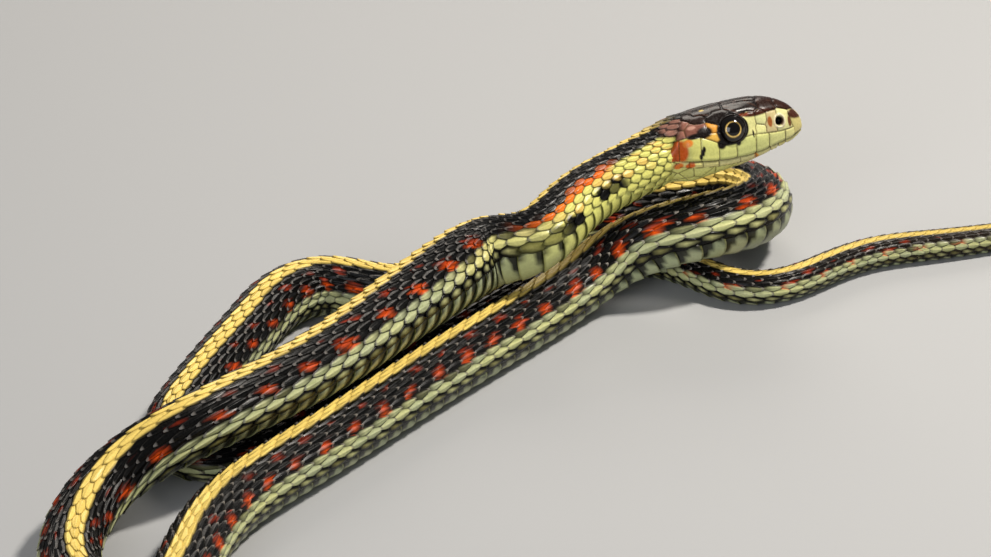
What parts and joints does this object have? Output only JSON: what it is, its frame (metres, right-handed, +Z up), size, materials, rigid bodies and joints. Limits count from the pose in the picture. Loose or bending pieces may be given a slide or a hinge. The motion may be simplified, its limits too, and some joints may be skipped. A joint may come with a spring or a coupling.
{
  "type": "garter snake",
  "caption": "Life-size still model of a garter snake, head raised and forebody laid over its own coils, resting on its belly.",
  "frame": {"origin": "on the floor, under the middle of the whole model's box", "axes": "+Z up, +X the way the head looks, +Y to the snake's far side"},
  "size_m": [0.2158, 0.1474, 0.0335],
  "materials": {
    "scaled_skin": "satin",
    "pale_lips": "satin",
    "eye": "gloss"
  },
  "bodies": {
    "root": {"head": "scaled_skin", "lower_jaw": "pale_lips", "eye_left": "eye", "eye_right": "eye", "neck": "scaled_skin", "body_01": "scaled_skin", "body_02": "scaled_skin", "body_03": "scaled_skin", "body_04": "scaled_skin", "body_05": "scaled_skin", "body_06": "scaled_skin", "body_07": "scaled_skin", "body_08": "scaled_skin", "body_09": "scaled_skin", "body_10": "scaled_skin", "body_11": "scaled_skin", "body_12": "scaled_skin", "body_13": "scaled_skin", "body_14": "scaled_skin", "body_15": "scaled_skin", "body_16": "scaled_skin", "body_17": "scaled_skin", "body_18": "scaled_skin", "tail_01": "scaled_skin", "tail_02": "scaled_skin", "tail_03": "scaled_skin", "tail_04": "scaled_skin", "tail_05": "scaled_skin", "tail_06": "scaled_skin"}
  },
  "joints": []
}
